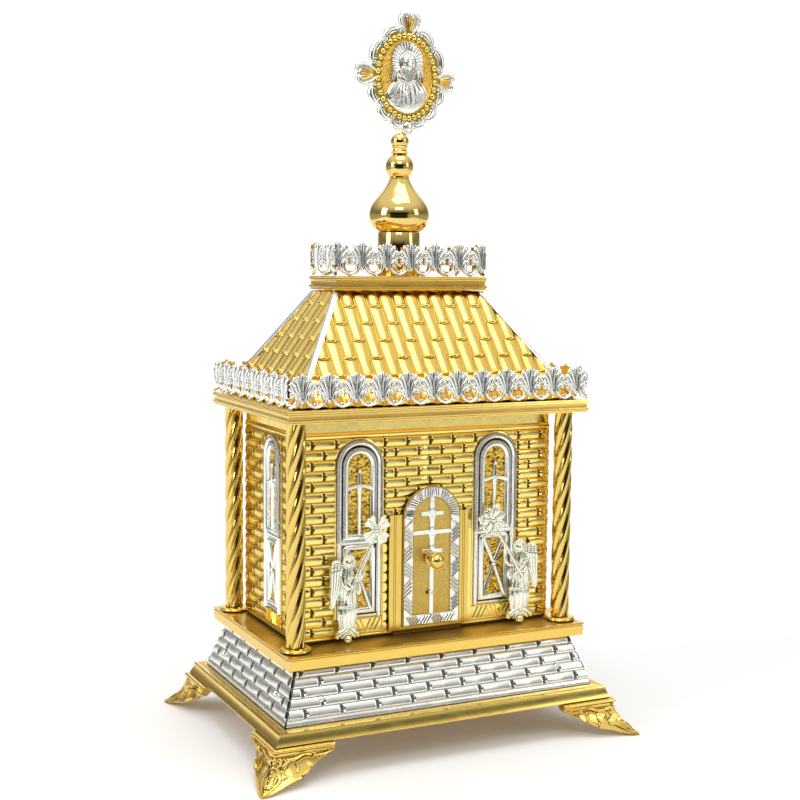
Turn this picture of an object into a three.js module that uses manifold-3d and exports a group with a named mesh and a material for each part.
// A church-shaped reliquary of gilt and silvered brass: four cast corner feet, a sloped brick plinth,
// a ledge with four twisted columns, a sheet-metal house with a pull-out drawer in its front wall,
// two cast angels, a hipped tile roof, two rows of pierced cresting and an onion dome with a medallion.
// Millimetres, +Z up. The origin is on the ground at the middle of the footprint; the front faces -Y.
import * as THREE from 'three';
import { mergeVertices } from 'three/addons/utils/BufferGeometryUtils.js';
import Module from 'manifold-3d';

const wasm = await Module();
wasm.setup();

// ---- driving dimensions ----
const GAP = 0.3;
const SHEET = 1.2;

const FOOT_H = 21.9;
const FOOT_WING = 36;
const FOOT_REACH = 13.5;

const BASE = { x: 114.4, y: 81.4, z0: 22.2, z1: 29.9, inX: 99, inY: 66 };
const PLINTH = { x: 105.3, y: 72.2, topX: 93.9, topY: 60.2, z0: 30.2, z1: 61.2, courses: 5 };
const LEDGE = { x: 102, y: 68.1, z0: 61.5, z1: 69.7 };
const HOUSE = { x: 87, y: 44.5, z0: 70, z1: 212.2, courses: 19, bricksTop: 193.4 };
const COLUMN = { x: 91.9, y: 54.4, r: 6, flutes: 6, turn: 1.45, base: 2.1 };
const EAVES = { x: 102, y: 67.8, z0: 205.7, z1: 213.8 };
const ROOF = { x: 93.6, y: 63.1, topX: 49.4, topY: 15.2, z0: 214.1, z1: 281.2, tile: 8.8 };
const TOP = { x: 52.9, y: 21, z0: 281.6, z1: 290.1 };
const CREST = { pitch: 16.9, height: 20.9, thick: 1.5 };

const WINDOW = { w: 31.4, sideW: 28, z0: 83.2, z1: 192.8, bar: 129.8, x: 47.1, sideY: -7, proud: 1.8 };
const DRAWER = { w: 47, depth: 80, h: 60, frontW: 55, frontZ0: 72.9, frontZ1: 145, travel: 65 };
const PLATE = { w: 39.8, z0: 74.5, z1: 161 };
const KNOB_Z = 116.7;

const DRUM = { r: 13.7, z1: 318.1 };
const ONION = { r: 19.5, z1: 351.6 };
const BALL = { r: 9, z: 359.3 };
const MEDAL = { z: 415.8, x: 4.2, halfW: 21, halfH: 26, tilt: 2, thick: 3 };

const GOLD = 0xd9a93a;
const SILVER = 0xd2d6d8;

// ---- materials: one for each mesh ----
function gold(roughness = 0.22) {
  return new THREE.MeshStandardMaterial({ color: GOLD, roughness, metalness: 1 });
}

function silver(roughness = 0.3) {
  return new THREE.MeshStandardMaterial({ color: SILVER, roughness, metalness: 1 });
}

const reliquary = new THREE.Group();

function addPiece(name, geometry, material) {
  const mesh = new THREE.Mesh(geometry, material);
  mesh.name = name;
  reliquary.add(mesh);
  return mesh;
}

// ---- closed meshes and boolean cuts ----
function merged(geometry) {
  const bare = geometry.clone();
  bare.deleteAttribute('normal');
  bare.deleteAttribute('uv');
  return mergeVertices(bare, 1e-4);
}

function signedVolume(positions, index) {
  const a = new THREE.Vector3();
  const b = new THREE.Vector3();
  const c = new THREE.Vector3();
  let volume = 0;
  for (let i = 0; i < index.length; i += 3) {
    a.fromArray(positions, 3 * index[i]);
    b.fromArray(positions, 3 * index[i + 1]);
    c.fromArray(positions, 3 * index[i + 2]);
    volume += a.dot(b.cross(c)) / 6;
  }
  return volume;
}

function closedMesh(points, faces) {
  const positions = points.flat();
  const outward = signedVolume(positions, faces.flat()) > 0;
  const index = outward ? faces.flat() : faces.flatMap(([a, b, c]) => [a, c, b]);
  const geometry = new THREE.BufferGeometry();
  geometry.setAttribute('position', new THREE.Float32BufferAttribute(positions, 3));
  geometry.setIndex(index);
  return geometry;
}

function toSolid(geometry) {
  const bare = merged(geometry);
  const triVerts = Uint32Array.from(bare.index.array);
  const vertProperties = Float32Array.from(bare.attributes.position.array);
  return new wasm.Manifold(new wasm.Mesh({ numProp: 3, vertProperties, triVerts }));
}

function toGeometry(solid) {
  const mesh = solid.getMesh();
  const geometry = new THREE.BufferGeometry();
  geometry.setAttribute('position', new THREE.BufferAttribute(Float32Array.from(mesh.vertProperties), 3));
  geometry.setIndex(new THREE.BufferAttribute(Uint32Array.from(mesh.triVerts), 1));
  return geometry;
}

function union(geometries) {
  return geometries.map(toSolid).reduce((whole, next) => whole.add(next));
}

// ---- shared shapes ----
function box(x0, x1, y0, y1, z0, z1) {
  const geometry = new THREE.BoxGeometry(x1 - x0, y1 - y0, z1 - z0);
  return geometry.translate((x0 + x1) / 2, (y0 + y1) / 2, (z0 + z1) / 2);
}

// Rectangles stacked as [halfX, halfY, z]; a ring closes on its first level, a block is capped at both ends.
function stackedRectangles(levels, ring = false) {
  const corners = [[-1, -1], [1, -1], [1, 1], [-1, 1]];
  const points = levels.flatMap(([x, y, z]) => corners.map(([sx, sy]) => [sx * x, sy * y, z]));
  const faces = [];
  const spans = ring ? levels.length : levels.length - 1;
  for (let level = 0; level < spans; level += 1) {
    const low = 4 * level;
    const high = 4 * ((level + 1) % levels.length);
    for (let side = 0; side < 4; side += 1) {
      const next = (side + 1) % 4;
      faces.push([low + side, low + next, high + next], [low + side, high + next, high + side]);
    }
  }
  if (!ring) {
    const last = 4 * (levels.length - 1);
    faces.push([2, 1, 0], [3, 2, 0], [last, last + 1, last + 2], [last, last + 2, last + 3]);
  }
  return closedMesh(points, faces);
}

// Sections with the same number of points, joined in order and capped flat at both ends.
function loft(sections) {
  const n = sections[0].length;
  const points = sections.flat();
  const faces = [];
  for (let s = 0; s < sections.length - 1; s += 1) {
    for (let i = 0; i < n; i += 1) {
      const j = (i + 1) % n;
      const a = s * n + i;
      const b = s * n + j;
      faces.push([a, b, b + n], [a, b + n, a + n]);
    }
  }
  const flat = (section) => {
    const first = [section[0], section[1], section[section.length - 2]];
    const [o, p, q] = first.map((v) => new THREE.Vector3(...v));
    const u = p.clone().sub(o).normalize();
    const normal = u.clone().cross(q.sub(o)).normalize();
    const v = normal.cross(u);
    return section.map((point) => {
      const d = new THREE.Vector3(...point).sub(o);
      return new THREE.Vector2(d.dot(u), d.dot(v));
    });
  };
  const start = flat(sections[0]);
  const turn = THREE.ShapeUtils.area(start) > 0 ? 1 : -1;
  const cap = THREE.ShapeUtils.triangulateShape(turn > 0 ? start : start.slice().reverse(), []);
  const pick = (i) => (turn > 0 ? i : n - 1 - i);
  const last = n * (sections.length - 1);
  cap.forEach(([a, b, c]) => {
    const [i, j, k] = turn > 0 ? [pick(a), pick(b), pick(c)] : [pick(c), pick(b), pick(a)];
    faces.push([k, j, i], [last + i, last + j, last + k]);
  });
  return closedMesh(points, faces);
}

function turned(profile, segments) {
  const geometry = new THREE.LatheGeometry(profile.map(([r, z]) => new THREE.Vector2(r, z)), segments);
  return geometry.rotateX(Math.PI / 2);
}

function extruded(outline, depth, curveSegments = 6) {
  const settings = { depth, bevelEnabled: false, curveSegments };
  return new THREE.ExtrudeGeometry(outline, settings);
}

// Stands an outline drawn in (x, z) up on the plane y = front, its thickness running to +Y.
function upright(outline, front, depth, curveSegments) {
  return extruded(outline, depth, curveSegments).rotateX(Math.PI / 2).translate(0, front + depth, 0);
}

function shapeOf(points) {
  return new THREE.Shape(points.map(([x, z]) => new THREE.Vector2(x, z)));
}

function archOutline(cx, width, z0, z1) {
  const r = width / 2;
  const outline = new THREE.Shape();
  outline.moveTo(cx - r, z0);
  outline.lineTo(cx + r, z0);
  outline.lineTo(cx + r, z1 - r);
  outline.absarc(cx, z1 - r, r, 0, Math.PI, false);
  outline.lineTo(cx - r, z0);
  return outline;
}

// ---- feet: cast brackets under the corners of the base, splayed out to a small flat toe ----
function footSection(away) {
  const toe = Math.max(0, 1 - Math.max(0, away - 2.5) / 30);
  const low = away <= 2.5 ? 0 : FOOT_H * 0.8 * Math.pow(away / FOOT_WING, 0.92);
  const reach = FOOT_REACH * Math.pow(toe, 1.4);
  const waist = FOOT_H - 3.2;
  return [
    [-5, FOOT_H],
    [2, FOOT_H],
    [2.4, FOOT_H - 1.6],
    [0.8, waist],
    [0.9 + 0.42 * reach, THREE.MathUtils.lerp(waist, low, 0.55)],
    [1 + reach, THREE.MathUtils.lerp(waist, low, 0.84)],
    [0.5 + reach, low],
    [-5 + 0.9 * reach, low],
  ];
}

// Points on the inner side keep clear of the mitre, so that the two wings meet in one plane there.
function footGeometry(sx, sy) {
  const steps = [FOOT_WING, 26, 17, 9, 2.5];
  const along = (away, out) => -Math.max(away, 1.2 - out);
  const sections = [];
  steps.forEach((away) => {
    const place = ([out, z]) => [sx * (BASE.x + along(away, out)), sy * (BASE.y + out), z];
    sections.push(footSection(away).map(place));
  });
  sections.push(footSection(0).map(([out, z]) => [sx * (BASE.x + out), sy * (BASE.y + out), z]));
  steps.slice().reverse().forEach((away) => {
    const place = ([out, z]) => [sx * (BASE.x + out), sy * (BASE.y + along(away, out)), z];
    sections.push(footSection(away).map(place));
  });
  return loft(sections);
}

// ---- base frame: a rectangular ring of sheet, its outer face sloping out to the bottom edge ----
function baseGeometry() {
  const { x, y, z0, z1, inX, inY } = BASE;
  return stackedRectangles([
    [x, y, z0],
    [x, y, z0 + 0.9],
    [x - 1.8, y - 1.1, z0 + 3.6],
    [x - 2.7, y - 1.6, z1 - 1],
    [x - 3.6, y - 2.3, z1],
    [inX, inY, z1],
    [inX, inY, z1 - SHEET],
    [x - 5, y - 4, z1 - SHEET],
    [x - 3, y - 3, z0],
  ], true);
}

// ---- plinth: a plain tapered tube with four embossed panels fixed on it by round-head screws ----
function plinthHalf(z, inset) {
  const t = (z - PLINTH.z0) / (PLINTH.z1 - PLINTH.z0);
  const x = THREE.MathUtils.lerp(PLINTH.x, PLINTH.topX, t) - inset;
  const y = THREE.MathUtils.lerp(PLINTH.y, PLINTH.topY, t) - inset;
  return [x, y, z];
}

function plinthCoreGeometry() {
  const { z0, z1 } = PLINTH;
  const inset = SHEET + GAP;
  return stackedRectangles([
    plinthHalf(z0, inset),
    plinthHalf(z1, inset),
    plinthHalf(z1, inset + SHEET),
    plinthHalf(z0, inset + SHEET),
  ], true);
}

// The panel's face steps in a ridge for each course of bricks above a smooth strip at the bottom.
function plinthPanelGeometry(axis, sign) {
  const { z0, z1, courses } = PLINTH;
  const strip = 3.4;
  const rise = (z1 - z0 - strip) / courses;
  const face = [[z0, 0], [z0 + strip, 0]];
  for (let i = 0; i < courses; i += 1) {
    const z = z0 + strip + i * rise;
    face.push([z + 0.25 * rise, 0.7], [z + 0.75 * rise, 0.7]);
    face.push([z + rise - 0.05, 0]);
  }
  face[face.length - 1] = [z1, 0];
  const profile = [...face, [z1, -SHEET], [z0, -SHEET]];
  const end = (side) => profile.map(([z, out]) => {
    const [hx, hy] = plinthHalf(z, 0);
    const along = side * ((axis === 'y' ? hx : hy) - 1.4);
    const away = sign * ((axis === 'y' ? hy : hx) + out);
    return axis === 'y' ? [along, away, z] : [away, along, z];
  });
  return loft([end(-1), end(1)]);
}

function screwGeometry(r) {
  return turned([[0, -r * 0.55], [r, -r * 0.55], [r * 0.8, r * 0.25], [0, r * 0.6]], 7);
}

function screwHead(name, axis, sign, along) {
  const z = 43.8;
  const [hx, hy] = plinthHalf(z, 0);
  const slopeX = Math.atan((PLINTH.x - PLINTH.topX) / (PLINTH.z1 - PLINTH.z0));
  const slopeY = Math.atan((PLINTH.y - PLINTH.topY) / (PLINTH.z1 - PLINTH.z0));
  const head = addPiece(name, screwGeometry(1.9), silver(0.25));
  if (axis === 'y') {
    head.rotation.x = -sign * (Math.PI / 2 - slopeY);
    head.position.set(along, sign * (hy + 2.1), z);
  } else {
    head.rotation.y = sign * (Math.PI / 2 - slopeX);
    head.position.set(sign * (hx + 2.1), along, z);
  }
}

// ---- ledge, eaves and top frame: inverted trays of sheet with a moulded rim ----
function ledgeGeometry() {
  const { x, y, z0, z1 } = LEDGE;
  return stackedRectangles([
    [x - 1.6, y - 1.6, z1],
    [x, y, z1 - 0.3],
    [x, y, z1 - 1],
    [x - 0.7, y - 0.7, z1 - 1.5],
    [x - 0.7, y - 0.7, z0],
    [x - 0.7 - SHEET, y - 0.7 - SHEET, z0],
    [x - 0.7 - SHEET, y - 0.7 - SHEET, z1 - SHEET],
  ]);
}

function corniceGeometry({ x, y, z0, z1 }) {
  return stackedRectangles([
    [x - 0.4, y - 0.4, z1],
    [x, y, z1 - 0.5],
    [x, y, z1 - 1.4],
    [x - 1, y - 1, z1 - 2.1],
    [x - 1.3, y - 1.3, z1 - 3.8],
    [x - 0.8, y - 0.8, z0 + 2.4],
    [x + 0.2, y + 0.2, z0 + 1.7],
    [x + 0.2, y + 0.2, z0 + 0.8],
    [x - 0.5, y - 0.5, z0],
    [x - 2.4, y - 2.4, z0],
    [x - 2.4, y - 2.4, z1 - SHEET],
  ]);
}

// ---- columns: six-fluted twisted rods standing in round washers ----
function columnGeometry() {
  const { r, flutes, turn, base } = COLUMN;
  const z0 = LEDGE.z1 + GAP + base + GAP;
  const z1 = EAVES.z1 - SHEET - GAP;
  const steps = 12;
  const sections = [];
  for (let k = 0; k <= steps; k += 1) {
    const t = k / steps;
    const section = [];
    for (let i = 0; i < 2 * flutes; i += 1) {
      const angle = turn * 2 * Math.PI * t + (Math.PI * i) / flutes;
      const radius = i % 2 ? r * 0.8 : r;
      section.push([radius * Math.cos(angle), radius * Math.sin(angle), THREE.MathUtils.lerp(z0, z1, t)]);
    }
    sections.push(section);
  }
  return loft(sections);
}

function columnDiscGeometry() {
  const h = COLUMN.base;
  const z = LEDGE.z1 + GAP;
  return turned([[0, z], [9.7, z], [9.7, z + 0.6 * h], [9, z + h], [0, z + h]], 14);
}

// ---- house walls: sheets embossed with brick courses, a coved band above and a hem below ----
function wallFace() {
  const { z0, courses, bricksTop } = HOUSE;
  const top = HOUSE.z1;
  const hem = z0 + 2.9;
  const pitch = (bricksTop - hem) / courses;
  const face = [[z0, 0.8], [hem - 1, 0.8], [hem, 0]];
  for (let i = 0; i < courses; i += 1) {
    face.push([hem + (i + 0.45) * pitch, 0.6], [hem + (i + 1) * pitch, 0]);
  }
  face.push([bricksTop + 1, 1], [bricksTop + 3.4, 1], [bricksTop + 4.4, 0], [bricksTop + 10, -0.2]);
  face.push([EAVES.z0 - 0.4, 0.9], [top, 0.9]);
  return face;
}

function wallSheet(length) {
  const face = wallFace();
  const profile = [...face, [HOUSE.z1, -SHEET], [HOUSE.z0, -SHEET]];
  const end = (x) => profile.map(([z, out]) => [x, -out, z]);
  return loft([end(-length / 2), end(length / 2)]);
}

// A silver window in relief: arched frame, cross in the upper light, saltire in the lower one.
function windowRelief(cx, w) {
  const { z0, z1, bar, proud } = WINDOW;
  const frame = archOutline(cx, w, z0, z1);
  frame.holes.push(archOutline(cx, w - 9, bar + 3, z1 - 4.5));
  const low = shapeOf([[cx - w / 2 + 4.5, z0 + 4.5], [cx + w / 2 - 4.5, z0 + 4.5],
    [cx + w / 2 - 4.5, bar - 3], [cx - w / 2 + 4.5, bar - 3]]);
  frame.holes.push(low);
  const ground = -0.8;
  const pieces = [upright(archOutline(cx, w - 1, z0 + 0.5, z1 - 0.5), ground, 1.2, 5)];
  pieces.push(upright(frame, -proud, proud + 0.4, 5));
  pieces.push(box(cx - 1.1, cx + 1.1, -proud + 0.2, ground + 0.2, bar + 2, 173));
  pieces.push(box(cx - w / 2 + 4, cx + w / 2 - 4, -proud + 0.2, ground + 0.2, 157, 160));
  const half = (bar - 3 - z0 - 4.5) / 2;
  [-1, 1].forEach((side) => {
    const lean = Math.atan2(w / 2 - 4.5, half);
    const stay = box(-1, 1, -proud + 0.2, ground + 0.2, -half - 1.5, half + 1.5);
    pieces.push(stay.rotateY(side * lean).translate(cx, 0, z0 + 4.5 + half));
  });
  return union(pieces);
}

function frontWallGeometry() {
  const { x, w: wide } = WINDOW;
  const { w } = DRAWER;
  const wall = toSolid(wallSheet(2 * HOUSE.x));
  const opening = box(-w / 2 - 1, w / 2 + 1, -5, 5, HOUSE.z0 - 1, LEDGE.z1 + DRAWER.h + 2);
  const cut = wall.add(windowRelief(-x, wide)).add(windowRelief(x, wide)).subtract(toSolid(opening));
  return toGeometry(cut).translate(0, -HOUSE.y, 0);
}

function sideWallGeometry(sign) {
  const length = 2 * (HOUSE.y - SHEET - GAP);
  const wall = toSolid(wallSheet(length)).add(windowRelief(sign * WINDOW.sideY, WINDOW.sideW));
  return toGeometry(wall).rotateZ((sign * Math.PI) / 2).translate(sign * HOUSE.x, 0, 0);
}

function backWallGeometry() {
  return wallSheet(2 * HOUSE.x).rotateZ(Math.PI).translate(0, HOUSE.y, 0);
}

// ---- drawer: an open-topped box behind a plain front with the arched door plate on it ----
const DRAWER_Z0 = LEDGE.z1 + GAP;
const FRONT_Y = -HOUSE.y - 1.4;
const FRONT_T = 1.6;
const PLATE_T = 1.4;

function drawerBoxGeometry() {
  const { w, depth, h } = DRAWER;
  const y0 = FRONT_Y + GAP;
  const z0 = DRAWER_Z0;
  const outer = toSolid(box(-w / 2, w / 2, y0, y0 + depth, z0, z0 + h));
  const inner = toSolid(box(-w / 2 + 1, w / 2 - 1, y0 + 1, y0 + depth - 1, z0 + 1, z0 + h + 1));
  return toGeometry(outer.subtract(inner));
}

function drawerFrontGeometry() {
  const { frontW, frontZ0, frontZ1 } = DRAWER;
  const h = frontW / 2;
  const y = FRONT_Y;
  const section = (z) => [
    [-h, y, z], [h, y, z], [h, y - FRONT_T, z],
    [h - 3, y - FRONT_T, z], [h - 3.4, y - FRONT_T + 0.5, z], [h - 3.8, y - FRONT_T, z],
    [3.8 - h, y - FRONT_T, z], [3.4 - h, y - FRONT_T + 0.5, z], [3 - h, y - FRONT_T, z],
    [-h, y - FRONT_T, z],
  ];
  return loft([section(frontZ0), section(frontZ1)]);
}

function doorPlateGeometry() {
  const { w, z0, z1 } = PLATE;
  const front = FRONT_Y - FRONT_T - GAP - PLATE_T;
  const field = upright(archOutline(0, w, z0, z1), front + 0.7, PLATE_T - 0.7, 9);
  const border = archOutline(0, w - 0.8, z0 + 0.6, z1 - 0.4);
  border.holes.push(archOutline(0, w - 13, z0 + 7, z1 - 6.6));
  const pieces = [field, upright(border, front, PLATE_T - 0.2, 9)];
  pieces.push(box(-1.5, 1.5, front, front + 1, z0 + 6, z1 - 6));
  pieces.push(box(-6.5, 6.5, front, front + 1, 143.6, 146.4));
  pieces.push(box(-w / 2 + 5, w / 2 - 5, front, front + 1, 131.6, 134.4));
  pieces.push(box(-6.5, 6.5, front, front + 1, 121.6, 124.2));
  return toGeometry(union(pieces));
}

const PLATE_FACE = FRONT_Y - FRONT_T - GAP - PLATE_T;

function knobGeometry() {
  const profile = [[0, 0], [3.4, 0], [3.6, 1], [2.4, 2], [2.4, 3.2], [3.5, 3.8], [3.5, 5], [2.2, 5.6],
    [4, 7], [4.6, 9.3], [3.9, 11.6], [2, 13.2], [0, 13.6]];
  const geometry = turned(profile, 12).rotateX(Math.PI / 2);
  return geometry.translate(0, PLATE_FACE - GAP, KNOB_Z);
}

function rivetGeometry() {
  const geometry = turned([[0, 0], [1.5, 0], [1.2, 0.8], [0, 1.2]], 7).rotateX(Math.PI / 2);
  return geometry.translate(0, PLATE_FACE - GAP, 95.2);
}

// ---- angels: cast figures in beaded robes, each with a wing and a tall staff with a fan ----
function ellipsoid(rx, ry, rz, x, y, z, wide = 8, high = 5) {
  return new THREE.SphereGeometry(1, wide, high).rotateX(Math.PI / 2).scale(rx, ry, rz).translate(x, y, z);
}

function rod(from, to, r0, r1, sides = 5) {
  const a = new THREE.Vector3(...from);
  const b = new THREE.Vector3(...to);
  const geometry = new THREE.CylinderGeometry(r1, r0, a.distanceTo(b), sides);
  const turn = new THREE.Quaternion();
  turn.setFromUnitVectors(new THREE.Vector3(0, 1, 0), b.clone().sub(a).normalize());
  return geometry.applyQuaternion(turn).translate((a.x + b.x) / 2, (a.y + b.y) / 2, (a.z + b.z) / 2);
}

function robe(levels) {
  const folds = 10;
  const sections = levels.map(([rx, ry, x, z]) => {
    const section = [];
    for (let i = 0; i < folds; i += 1) {
      const angle = (2 * Math.PI * i) / folds;
      const deep = i % 2 ? 0.86 : 1;
      section.push([x + rx * deep * Math.cos(angle), ry * deep * Math.sin(angle), z]);
    }
    return section;
  });
  return loft(sections);
}

function starOutline(points, outer, inner) {
  const outline = [];
  for (let i = 0; i < 2 * points; i += 1) {
    const angle = (Math.PI * i) / points;
    const r = i % 2 ? inner : outer;
    outline.push([r * Math.sin(angle), r * Math.cos(angle)]);
  }
  return shapeOf(outline);
}

// Drawn for the right-hand figure at x = 0 and mirrored for the left; lean is +1 with the wing at +X.
function angelGeometry(x, lean, fan) {
  const feathers = [[2.2, 33], [5, 47], [8, 50], [10.4, 47.5], [10.2, 38], [8.6, 29], [7, 22.5], [5.6, 28]];
  const wing = shapeOf(feathers);
  const pieces = [
    robe([[4.8, 2.3, 0.4, 8], [5.4, 2.6, 0.2, 16], [5.8, 2.8, 0.4, 22], [5, 2.7, 0, 22.8], [4.4, 2.5, 0, 32],
      [4.8, 2.6, 0, 39], [3.8, 2.2, 0, 42.8], [1.9, 1.7, 0, 46.4]]),
    ellipsoid(4, 2.9, 4.4, -0.6, -0.3, 49.2),
    upright(wing, 0.4, 1.7, 4),
    rod([-3, -0.6, 39.4], [-8.4, -0.8, 34.8], 1.9, 1.5),
    rod([3, -0.6, 39.4], [-5.4, -1.4, 34.6], 1.8, 1.5),
    rod([0.8, -2.2, 30], [fan.x, -1.6, fan.z], 0.8, 0.8),
    upright(starOutline(fan.points, fan.r, fan.inner), -2.3, 1.4, 1).translate(fan.x, 0, fan.z),
    ellipsoid(6.4, 2.5, 2.8, 0, 0, 6.4, 8, 4),
    ellipsoid(2.4, 2.4, 2.4, 0, 0, 2.4, 6, 4),
  ];
  const whole = toGeometry(union(pieces));
  if (lean < 0) {
    whole.scale(-1, 1, 1);
    whole.setIndex([...whole.index.array].reverse());
  }
  return whole.translate(x, -HOUSE.y - 7.2, LEDGE.z1 + GAP);
}

// ---- roof: four corrugated tile panels under silver strips along the hips ----
function roofPanelGeometry(axis, sign) {
  const { z0, z1, tile } = ROOF;
  const [base, top] = axis === 'y' ? [ROOF.x, ROOF.topX] : [ROOF.y, ROOF.topY];
  const [out, inn] = axis === 'y' ? [ROOF.y, ROOF.topY] : [ROOF.x, ROOF.topX];
  const run = out - inn;
  const slope = Math.hypot(run, z1 - z0);
  const count = Math.ceil((2 * base) / tile);
  const profile = [];
  for (let i = 0; i <= count; i += 1) {
    const u = (i - count / 2) * tile;
    profile.push([u, 0]);
    if (i < count) {
      profile.push([u + tile / 2, 1]);
    }
  }
  profile.push([(count / 2) * tile, -SHEET], [(-count / 2) * tile, -SHEET]);
  const end = (v) => profile.map(([u, h]) => [u, v, h]);
  const sheet = toSolid(loft([end(0.9), end(slope - 0.7)]));
  const edge = 1.2;
  const corners = [[-base + edge, 0], [base - edge, 0], [top - edge, slope], [edge - top, slope]];
  const limit = extruded(shapeOf(corners), 8);
  const panel = toGeometry(sheet.intersect(toSolid(limit.translate(0, 0, -4))));
  panel.rotateX(Math.atan2(z1 - z0, run)).translate(0, -out, z0);
  const turns = { y: sign < 0 ? 0 : Math.PI, x: (sign * Math.PI) / 2 };
  return panel.rotateZ(turns[axis]);
}

function hipGeometry(sx, sy) {
  const { x, y, topX, topY, z0, z1 } = ROOF;
  const wide = 4.6;
  const section = (hx, hy, z) => {
    const o = 2.7;
    const i = 1.7;
    const ring = [[o, -wide], [o, o], [-wide, o], [-wide, i], [i, i], [i, -wide]];
    return ring.map(([dx, dy]) => [sx * (hx + dx), sy * (hy + dy), z]);
  };
  return loft([section(x, y, z0), section(topX, topY, z1)]);
}

// ---- cresting: a cast strip of palmettes on looped scrolls, cut to length ----
function crestOutline(length) {
  const { pitch, height } = CREST;
  const cells = Math.ceil(length / pitch);
  const start = (-cells * pitch) / 2;
  const top = [];
  const bottom = [];
  for (let i = 0; i < cells; i += 1) {
    const x = start + (i + 0.5) * pitch;
    top.push([x - 0.5 * pitch, 0.42 * height], [x - 0.43 * pitch, 0.66 * height], [x - 0.17 * pitch, height]);
    top.push([x + 0.17 * pitch, height], [x + 0.43 * pitch, 0.66 * height]);
    bottom.push([x - 0.5 * pitch, 0], [x - 0.14 * pitch, 0.08 * height], [x + 0.14 * pitch, 0.08 * height]);
  }
  top.push([start + cells * pitch, 0.45 * height]);
  bottom.push([start + cells * pitch, 0]);
  return shapeOf([...bottom, ...top.reverse()]);
}

function crestGeometry(length) {
  const strip = upright(crestOutline(length), -CREST.thick / 2, CREST.thick, 1);
  const limit = box(-length / 2, length / 2, -5, 5, -1, CREST.height + 1);
  return toGeometry(toSolid(strip).intersect(toSolid(limit)));
}

function addCresting(prefix, frame) {
  const z = frame.z1 + GAP;
  const inset = 0.4 + CREST.thick / 2;
  const longSide = 2 * (frame.x - 0.5);
  const shortSide = 2 * (frame.y - 0.4 - CREST.thick - GAP);
  [['front', -1], ['back', 1]].forEach(([side, sign]) => {
    const geometry = crestGeometry(longSide).rotateZ(sign < 0 ? 0 : Math.PI);
    addPiece(`${prefix}_cresting_${side}`, geometry.translate(0, sign * (frame.y - inset), z), silver());
  });
  [['left', -1], ['right', 1]].forEach(([side, sign]) => {
    const geometry = crestGeometry(shortSide).rotateZ((sign * Math.PI) / 2);
    addPiece(`${prefix}_cresting_${side}`, geometry.translate(sign * (frame.x - inset), 0, z), silver());
  });
}

// ---- drum, onion dome and turned finial: the first two are spun sheet, open below ----
function drumGeometry() {
  const { r, z1 } = DRUM;
  const z0 = TOP.z1 + GAP;
  return turned([[r, z0], [r, z1], [r - SHEET, z1], [r - SHEET, z0], [r, z0]], 20);
}

function onionGeometry() {
  const z0 = DRUM.z1 + GAP;
  const h = ONION.z1 - z0;
  const r = ONION.r;
  const outer = [[0.76 * r, 0], [0.79 * r, 0.05], [0.9 * r, 0.18], [0.985 * r, 0.34], [r, 0.48],
    [0.95 * r, 0.62], [0.78 * r, 0.76], [0.5 * r, 0.88], [0.33 * r, 1]];
  const inner = [[0.71 * r, 0], [0.9 * r, 0.34], [0.88 * r, 0.6], [0.4 * r, 0.84], [0, 0.88]];
  const profile = [[0, 1], ...outer.slice().reverse(), ...inner];
  return turned(profile.reverse().map(([a, t]) => [a, z0 + t * h]), 18);
}

function finialGeometry() {
  const { r, z } = BALL;
  const foot = ONION.z1 + GAP;
  const profile = [[0, foot], [5, foot]];
  for (let a = -50; a <= 50; a += 20) {
    const angle = THREE.MathUtils.degToRad(a);
    profile.push([r * Math.cos(angle), z + r * Math.sin(angle)]);
  }
  profile.push([5.9, z + 8.2], [4.4, z + 9.4], [5.6, z + 10.6], [5.6, z + 11.6], [4.3, z + 12.6]);
  profile.push([4.6, z + 14.4], [5.5, z + 17], [4.9, z + 19.4], [2.8, z + 21], [0, z + 21.2]);
  return turned(profile, 14);
}

// ---- medallion: a cast oval with a bust in relief inside a ring of beads and a scrolled border ----
function ovalOutline(halfW, halfH) {
  const outline = new THREE.Shape();
  outline.absellipse(0, 0, halfW, halfH, 0, 2 * Math.PI, false, 0);
  return outline;
}

function scrolledOutline() {
  const { halfW, halfH } = MEDAL;
  const lobes = 12;
  const steps = 48;
  const points = [];
  for (let i = 0; i < steps; i += 1) {
    const angle = (2 * Math.PI * i) / steps;
    const scallop = 5.4 + 1.5 * Math.cos(lobes * angle);
    const palmette = 6.4 * Math.pow(Math.abs(Math.cos(2 * angle)), 14);
    const drop = Math.sin(angle) < -0.9 ? 0.2 : 1;
    const out = scallop + palmette * drop;
    points.push([(halfW + out) * Math.cos(angle), (halfH + out) * Math.sin(angle)]);
  }
  return shapeOf(points);
}

function medallionGeometry() {
  const { x, z, halfW, halfH, tilt, thick } = MEDAL;
  const front = -thick / 2;
  const rim = ovalOutline(halfW + 3, halfH + 3);
  rim.holes.push(ovalOutline(halfW, halfH));
  const pieces = [
    upright(scrolledOutline(), front, thick, 6),
    upright(rim, front - 1.8, 2.2, 6),
    ellipsoid(14, 2.6, 11, 0, front, -13, 12, 8),
    ellipsoid(5.8, 3.4, 7.2, 0, front - 0.6, 4.5, 10, 8),
    ellipsoid(7.4, 2.2, 8.6, 0, front, 7.4, 10, 8),
    rod([0, 0, -halfH - 2], [0, 0, -halfH - 8.9], 3.4, 2.4, 10),
  ];
  const limit = upright(ovalOutline(halfW + 20, halfH + 14), -9, 18, 8);
  const whole = toGeometry(union(pieces).intersect(toSolid(limit)));
  return whole.rotateY(THREE.MathUtils.degToRad(tilt)).translate(x, 0, z);
}

// ---- the pieces in their order of assembly, from the ground up ----
const CORNERS = [['front_left', -1, -1], ['front_right', 1, -1], ['back_left', -1, 1], ['back_right', 1, 1]];
const SIDES = [['front', 'y', -1], ['back', 'y', 1], ['left', 'x', -1], ['right', 'x', 1]];

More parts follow.
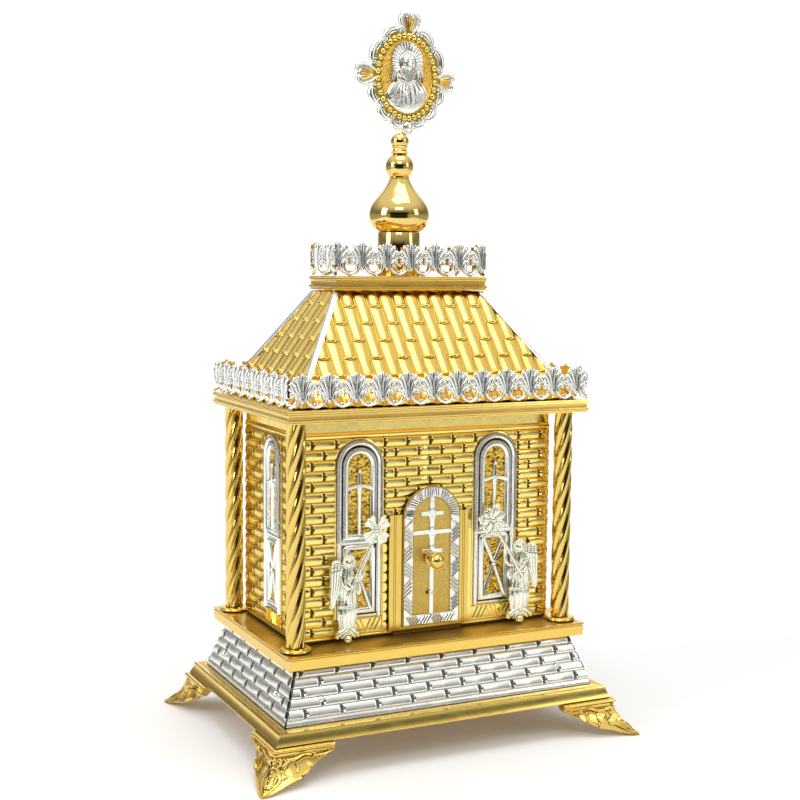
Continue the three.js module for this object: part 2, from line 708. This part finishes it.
CORNERS.forEach(([corner, sx, sy]) => addPiece(`foot_${corner}`, footGeometry(sx, sy), gold(0.3)));
addPiece('base_frame', baseGeometry(), gold());
addPiece('plinth_core', plinthCoreGeometry(), gold());
SIDES.forEach(([side, axis, sign]) => {
  addPiece(`plinth_panel_${side}`, plinthPanelGeometry(axis, sign), silver());
  const reach = axis === 'y' ? 81.4 : 47.4;
  screwHead(`screw_${side}_1`, axis, sign, -reach);
  screwHead(`screw_${side}_2`, axis, sign, reach);
});
addPiece('ledge', ledgeGeometry(), gold());
CORNERS.forEach(([corner, sx, sy]) => {
  const disc = addPiece(`column_disc_${corner}`, columnDiscGeometry(), gold());
  disc.position.set(sx * COLUMN.x, sy * COLUMN.y, 0);
  const column = addPiece(`column_${corner}`, columnGeometry(), gold(0.18));
  column.position.set(sx * COLUMN.x, sy * COLUMN.y, 0);
});
addPiece('wall_front', frontWallGeometry(), gold());
addPiece('wall_back', backWallGeometry(), gold());
addPiece('wall_left', sideWallGeometry(-1), gold());
addPiece('wall_right', sideWallGeometry(1), gold());
addPiece('drawer_box', drawerBoxGeometry(), gold(0.3));
addPiece('drawer_front', drawerFrontGeometry(), gold());
addPiece('door_plate', doorPlateGeometry(), silver());
addPiece('knob', knobGeometry(), gold(0.15));
addPiece('door_rivet', rivetGeometry(), silver(0.25));
const star = { x: -18, z: 68.2, points: 4, r: 9.7, inner: 4.2 };
addPiece('angel_left', angelGeometry(-57.4, -1, star), silver());
const rosette = { x: -21.3, z: 68.4, points: 7, r: 10.2, inner: 6.8 };
addPiece('angel_right', angelGeometry(62.8, 1, rosette), silver());
addPiece('eaves_frame', corniceGeometry(EAVES), gold());
SIDES.forEach(([side, axis, sign]) => addPiece(`roof_${side}`, roofPanelGeometry(axis, sign), gold()));
CORNERS.forEach(([corner, sx, sy]) => addPiece(`hip_${corner}`, hipGeometry(sx, sy), silver(0.2)));
addCresting('eaves', EAVES);
addPiece('top_frame', corniceGeometry(TOP), gold());
addCresting('top', TOP);
addPiece('drum', drumGeometry(), gold(0.12));
addPiece('onion_dome', onionGeometry(), gold(0.1));
addPiece('finial_stem', finialGeometry(), gold(0.12));
addPiece('medallion', medallionGeometry(), silver());

export default reliquary;
